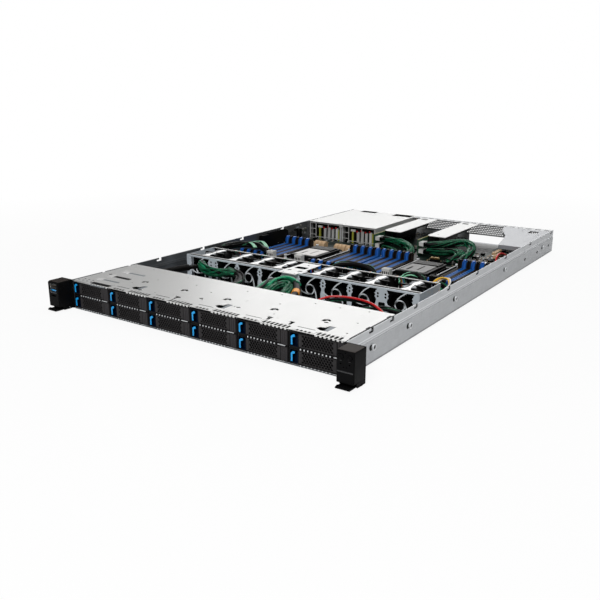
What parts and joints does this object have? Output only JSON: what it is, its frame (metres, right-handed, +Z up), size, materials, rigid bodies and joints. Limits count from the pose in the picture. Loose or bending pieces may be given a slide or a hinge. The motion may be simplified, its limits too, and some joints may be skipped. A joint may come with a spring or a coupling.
{
  "type": "1u rack server",
  "caption": "Low open-topped rack server with front drive carriers, a fan row, two processor sockets, memory slots, risers and sliding power supplies.",
  "frame": {"origin": "middle of the whole seen from above, at the tray's underside", "axes": "+X to the right seen from the front, +Y from the front to the rear, +Z up"},
  "size_m": [0.482, 0.8066, 0.0413],
  "materials": {
    "galvanised": "satin",
    "bright_sheet": "satin",
    "black_plastic": "matte",
    "charcoal_plastic": "satin",
    "blue_plastic": "satin",
    "board": "satin",
    "socket_steel": "satin",
    "braid": "woven",
    "connector": "satin"
  },
  "bodies": {
    "chassis": {"chassis_base": "galvanised", "rail_studs": "galvanised", "rear_panel": "galvanised", "drive_bay_cover": "bright_sheet", "drive_cage": "galvanised", "drive_backplane": "board", "fan_bracket": "galvanised", "fan_frames": "black_plastic", "motherboard": "board", "board_parts": "connector", "cpu_sockets": "socket_steel", "memory_slots_blue": "blue_plastic", "memory_slots_black": "black_plastic", "psu_cage": "bright_sheet", "riser_1": "bright_sheet", "riser_2": "bright_sheet", "rear_cover": "bright_sheet", "ear_left": "black_plastic", "ear_right": "black_plastic", "front_looms": "braid", "board_looms": "braid"},
    "carrier_bottom_1": {"carrier_bottom_1": "charcoal_plastic"},
    "lever_bottom_1": {"lever_bottom_1": "charcoal_plastic"},
    "carrier_bottom_2": {"carrier_bottom_2": "charcoal_plastic"},
    "lever_bottom_2": {"lever_bottom_2": "charcoal_plastic"},
    "carrier_bottom_3": {"carrier_bottom_3": "charcoal_plastic"},
    "lever_bottom_3": {"lever_bottom_3": "charcoal_plastic"},
    "carrier_bottom_4": {"carrier_bottom_4": "charcoal_plastic"},
    "lever_bottom_4": {"lever_bottom_4": "charcoal_plastic"},
    "carrier_bottom_5": {"carrier_bottom_5": "charcoal_plastic"},
    "lever_bottom_5": {"lever_bottom_5": "charcoal_plastic"},
    "carrier_bottom_6": {"carrier_bottom_6": "charcoal_plastic"},
    "lever_bottom_6": {"lever_bottom_6": "charcoal_plastic"},
    "carrier_top_1": {"carrier_top_1": "charcoal_plastic"},
    "lever_top_1": {"lever_top_1": "charcoal_plastic"},
    "carrier_top_2": {"carrier_top_2": "charcoal_plastic"},
    "lever_top_2": {"lever_top_2": "charcoal_plastic"},
    "carrier_top_3": {"carrier_top_3": "charcoal_plastic"},
    "lever_top_3": {"lever_top_3": "charcoal_plastic"},
    "carrier_top_4": {"carrier_top_4": "charcoal_plastic"},
    "lever_top_4": {"lever_top_4": "charcoal_plastic"},
    "carrier_top_5": {"carrier_top_5": "charcoal_plastic"},
    "lever_top_5": {"lever_top_5": "charcoal_plastic"},
    "carrier_top_6": {"carrier_top_6": "charcoal_plastic"},
    "lever_top_6": {"lever_top_6": "charcoal_plastic"},
    "fan_rotor_1": {"fan_rotor_1": "black_plastic"},
    "fan_rotor_2": {"fan_rotor_2": "black_plastic"},
    "fan_rotor_3": {"fan_rotor_3": "black_plastic"},
    "fan_rotor_4": {"fan_rotor_4": "black_plastic"},
    "fan_rotor_5": {"fan_rotor_5": "black_plastic"},
    "fan_rotor_6": {"fan_rotor_6": "black_plastic"},
    "fan_rotor_7": {"fan_rotor_7": "black_plastic"},
    "fan_rotor_8": {"fan_rotor_8": "black_plastic"},
    "psu_1": {"psu_1": "galvanised"},
    "psu_2": {"psu_2": "galvanised"},
    "power_button": {"power_button": "charcoal_plastic"},
    "id_button": {"id_button": "charcoal_plastic"},
    "release_tab_left": {"release_tab_left": "black_plastic"},
    "release_tab_right": {"release_tab_right": "black_plastic"},
    "pull_out_tag": {"pull_out_tag": "bright_sheet"}
  },
  "joints": [
    {"name": "carrier_bottom_1_slide", "type": "slide", "parent": "chassis", "child": "carrier_bottom_1", "axis": [0, -1, 0], "range_m": [0, 0.125]},
    {"name": "lever_bottom_1_swing", "type": "hinge", "parent": "carrier_bottom_1", "child": "lever_bottom_1", "pos_m": [-0.1584, -0.37285, 0.0107], "axis": [0, 0, 1], "range_deg": [0, 75]},
    {"name": "carrier_bottom_2_slide", "type": "slide", "parent": "chassis", "child": "carrier_bottom_2", "axis": [0, -1, 0], "range_m": [0, 0.125]},
    {"name": "lever_bottom_2_swing", "type": "hinge", "parent": "carrier_bottom_2", "child": "lever_bottom_2", "pos_m": [-0.0858, -0.37285, 0.0107], "axis": [0, 0, 1], "range_deg": [0, 75]},
    {"name": "carrier_bottom_3_slide", "type": "slide", "parent": "chassis", "child": "carrier_bottom_3", "axis": [0, -1, 0], "range_m": [0, 0.125]},
    {"name": "lever_bottom_3_swing", "type": "hinge", "parent": "carrier_bottom_3", "child": "lever_bottom_3", "pos_m": [-0.0132, -0.37285, 0.0107], "axis": [0, 0, 1], "range_deg": [0, 75]},
    {"name": "carrier_bottom_4_slide", "type": "slide", "parent": "chassis", "child": "carrier_bottom_4", "axis": [0, -1, 0], "range_m": [0, 0.125]},
    {"name": "lever_bottom_4_swing", "type": "hinge", "parent": "carrier_bottom_4", "child": "lever_bottom_4", "pos_m": [0.0594, -0.37285, 0.0107], "axis": [0, 0, 1], "range_deg": [0, 75]},
    {"name": "carrier_bottom_5_slide", "type": "slide", "parent": "chassis", "child": "carrier_bottom_5", "axis": [0, -1, 0], "range_m": [0, 0.125]},
    {"name": "lever_bottom_5_swing", "type": "hinge", "parent": "carrier_bottom_5", "child": "lever_bottom_5", "pos_m": [0.132, -0.37285, 0.0107], "axis": [0, 0, 1], "range_deg": [0, 75]},
    {"name": "carrier_bottom_6_slide", "type": "slide", "parent": "chassis", "child": "carrier_bottom_6", "axis": [0, -1, 0], "range_m": [0, 0.125]},
    {"name": "lever_bottom_6_swing", "type": "hinge", "parent": "carrier_bottom_6", "child": "lever_bottom_6", "pos_m": [0.2046, -0.37285, 0.0107], "axis": [0, 0, 1], "range_deg": [0, 75]},
    {"name": "carrier_top_1_slide", "type": "slide", "parent": "chassis", "child": "carrier_top_1", "axis": [0, -1, 0], "range_m": [0, 0.125]},
    {"name": "lever_top_1_swing", "type": "hinge", "parent": "carrier_top_1", "child": "lever_top_1", "pos_m": [-0.1584, -0.37285, 0.0299], "axis": [0, 0, 1], "range_deg": [0, 75]},
    {"name": "carrier_top_2_slide", "type": "slide", "parent": "chassis", "child": "carrier_top_2", "axis": [0, -1, 0], "range_m": [0, 0.125]},
    {"name": "lever_top_2_swing", "type": "hinge", "parent": "carrier_top_2", "child": "lever_top_2", "pos_m": [-0.0858, -0.37285, 0.0299], "axis": [0, 0, 1], "range_deg": [0, 75]},
    {"name": "carrier_top_3_slide", "type": "slide", "parent": "chassis", "child": "carrier_top_3", "axis": [0, -1, 0], "range_m": [0, 0.125]},
    {"name": "lever_top_3_swing", "type": "hinge", "parent": "carrier_top_3", "child": "lever_top_3", "pos_m": [-0.0132, -0.37285, 0.0299], "axis": [0, 0, 1], "range_deg": [0, 75]},
    {"name": "carrier_top_4_slide", "type": "slide", "parent": "chassis", "child": "carrier_top_4", "axis": [0, -1, 0], "range_m": [0, 0.125]},
    {"name": "lever_top_4_swing", "type": "hinge", "parent": "carrier_top_4", "child": "lever_top_4", "pos_m": [0.0594, -0.37285, 0.0299], "axis": [0, 0, 1], "range_deg": [0, 75]},
    {"name": "carrier_top_5_slide", "type": "slide", "parent": "chassis", "child": "carrier_top_5", "axis": [0, -1, 0], "range_m": [0, 0.125]},
    {"name": "lever_top_5_swing", "type": "hinge", "parent": "carrier_top_5", "child": "lever_top_5", "pos_m": [0.132, -0.37285, 0.0299], "axis": [0, 0, 1], "range_deg": [0, 75]},
    {"name": "carrier_top_6_slide", "type": "slide", "parent": "chassis", "child": "carrier_top_6", "axis": [0, -1, 0], "range_m": [0, 0.125]},
    {"name": "lever_top_6_swing", "type": "hinge", "parent": "carrier_top_6", "child": "lever_top_6", "pos_m": [0.2046, -0.37285, 0.0299], "axis": [0, 0, 1], "range_deg": [0, 75]},
    {"name": "fan_rotor_1_spin", "type": "hinge", "parent": "chassis", "child": "fan_rotor_1", "pos_m": [-0.1741, -0.14675, 0.0208], "axis": [0, 1, 0], "continuous": true},
    {"name": "fan_rotor_2_spin", "type": "hinge", "parent": "chassis", "child": "fan_rotor_2", "pos_m": [-0.1197, -0.14675, 0.0208], "axis": [0, 1, 0], "continuous": true},
    {"name": "fan_rotor_3_spin", "type": "hinge", "parent": "chassis", "child": "fan_rotor_3", "pos_m": [-0.0764, -0.14675, 0.0208], "axis": [0, 1, 0], "continuous": true},
    {"name": "fan_rotor_4_spin", "type": "hinge", "parent": "chassis", "child": "fan_rotor_4", "pos_m": [-0.0334, -0.14675, 0.0208], "axis": [0, 1, 0], "continuous": true},
    {"name": "fan_rotor_5_spin", "type": "hinge", "parent": "chassis", "child": "fan_rotor_5", "pos_m": [0.0346, -0.14675, 0.0208], "axis": [0, 1, 0], "continuous": true},
    {"name": "fan_rotor_6_spin", "type": "hinge", "parent": "chassis", "child": "fan_rotor_6", "pos_m": [0.0776, -0.14675, 0.0208], "axis": [0, 1, 0], "continuous": true},
    {"name": "fan_rotor_7_spin", "type": "hinge", "parent": "chassis", "child": "fan_rotor_7", "pos_m": [0.1209, -0.14675, 0.0208], "axis": [0, 1, 0], "continuous": true},
    {"name": "fan_rotor_8_spin", "type": "hinge", "parent": "chassis", "child": "fan_rotor_8", "pos_m": [0.1753, -0.14675, 0.0208], "axis": [0, 1, 0], "continuous": true},
    {"name": "psu_1_slide", "type": "slide", "parent": "chassis", "child": "psu_1", "axis": [0, 1, 0], "range_m": [0, 0.19]},
    {"name": "psu_2_slide", "type": "slide", "parent": "chassis", "child": "psu_2", "axis": [0, 1, 0], "range_m": [0, 0.19]},
    {"name": "power_button_press", "type": "slide", "parent": "chassis", "child": "power_button", "axis": [0, 1, 0], "range_m": [0, 0.001], "stiffness_N_per_m": 700, "springref_m": -0.0004},
    {"name": "id_button_press", "type": "slide", "parent": "chassis", "child": "id_button", "axis": [0, 1, 0], "range_m": [0, 0.001], "stiffness_N_per_m": 700, "springref_m": -0.0004},
    {"name": "release_tab_left_lift", "type": "hinge", "parent": "chassis", "child": "release_tab_left", "pos_m": [-0.23, -0.38175, 0.0021], "axis": [-1, 0, 0], "range_deg": [0, 8], "stiffness_Nm_per_rad": 0.12, "springref_deg": -5.73},
    {"name": "release_tab_right_lift", "type": "hinge", "parent": "chassis", "child": "release_tab_right", "pos_m": [0.23, -0.38175, 0.0021], "axis": [-1, 0, 0], "range_deg": [0, 8], "stiffness_Nm_per_rad": 0.12, "springref_deg": -5.73},
    {"name": "pull_out_tag_slide", "type": "slide", "parent": "chassis", "child": "pull_out_tag", "axis": [0, -1, 0], "range_m": [0, 0.045]}
  ]
}
